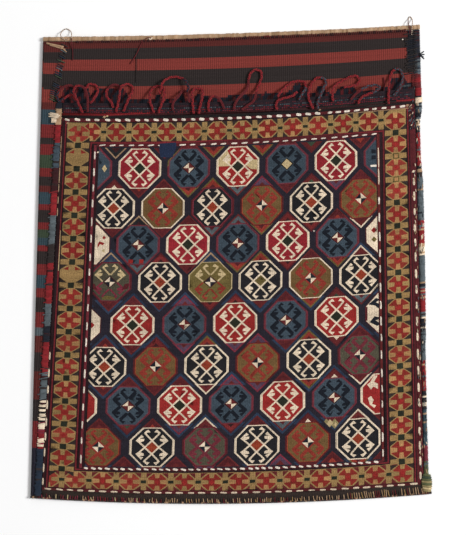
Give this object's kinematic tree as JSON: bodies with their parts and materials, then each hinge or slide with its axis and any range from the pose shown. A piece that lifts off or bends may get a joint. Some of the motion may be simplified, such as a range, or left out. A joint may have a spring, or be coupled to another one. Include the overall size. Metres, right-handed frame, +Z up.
{
  "type": "soumak bag",
  "caption": "Flat-woven wool storage bag lying flat, open at its mouth, with an octagon-patterned soumak face, a striped back and closure panel, and braided closing loops.",
  "frame": {"origin": "middle of the bag's box, on the surface that it lies on", "axes": "+Z up out of the patterned face, +Y towards the mouth and its striped closure panel, +X to the right of the face"},
  "size_m": [0.5308, 0.6441, 0.0175],
  "materials": {
    "soumak_face": "matte wrapped wool in many colours, slightly worn",
    "striped_cloth": "flat-woven wool, ribbed, in bands of red, charcoal, teal and green",
    "cotton_hem": "undyed cotton, soiled",
    "edge_wool": "overcast wool in blocks of red, teal and navy",
    "dark_edge_wool": "overcast dark navy wool",
    "cotton_stitching": "undyed cotton overcast stitches",
    "braided_wool": "braided red wool cord",
    "twisted_thread": "two-ply twisted thread"
  },
  "bodies": {
    "root": {"face_panel": "soumak_face", "back_panel": "striped_cloth", "mouth_hem": "cotton_hem", "right_edge_binding": "edge_wool", "closure_edge_binding": "dark_edge_wool", "left_seam_wool": "edge_wool", "bottom_edge_stitching": "cotton_stitching", "closing_loop_01": "braided_wool", "closing_loop_02": "braided_wool", "closing_loop_03": "braided_wool", "closing_loop_04": "braided_wool", "closing_loop_05": "braided_wool", "closing_loop_06": "braided_wool", "closing_loop_07": "braided_wool", "closing_loop_08": "braided_wool", "closing_loop_09": "braided_wool", "closing_loop_10": "braided_wool", "closing_loop_11": "braided_wool", "closing_loop_12": "braided_wool", "closing_loop_13": "braided_wool", "closing_loop_14": "braided_wool", "closing_loop_15": "braided_wool", "closing_loop_16": "braided_wool", "closing_loop_17": "braided_wool", "hanging_loop_left": "twisted_thread", "hanging_loop_right": "twisted_thread"}
  },
  "joints": []
}
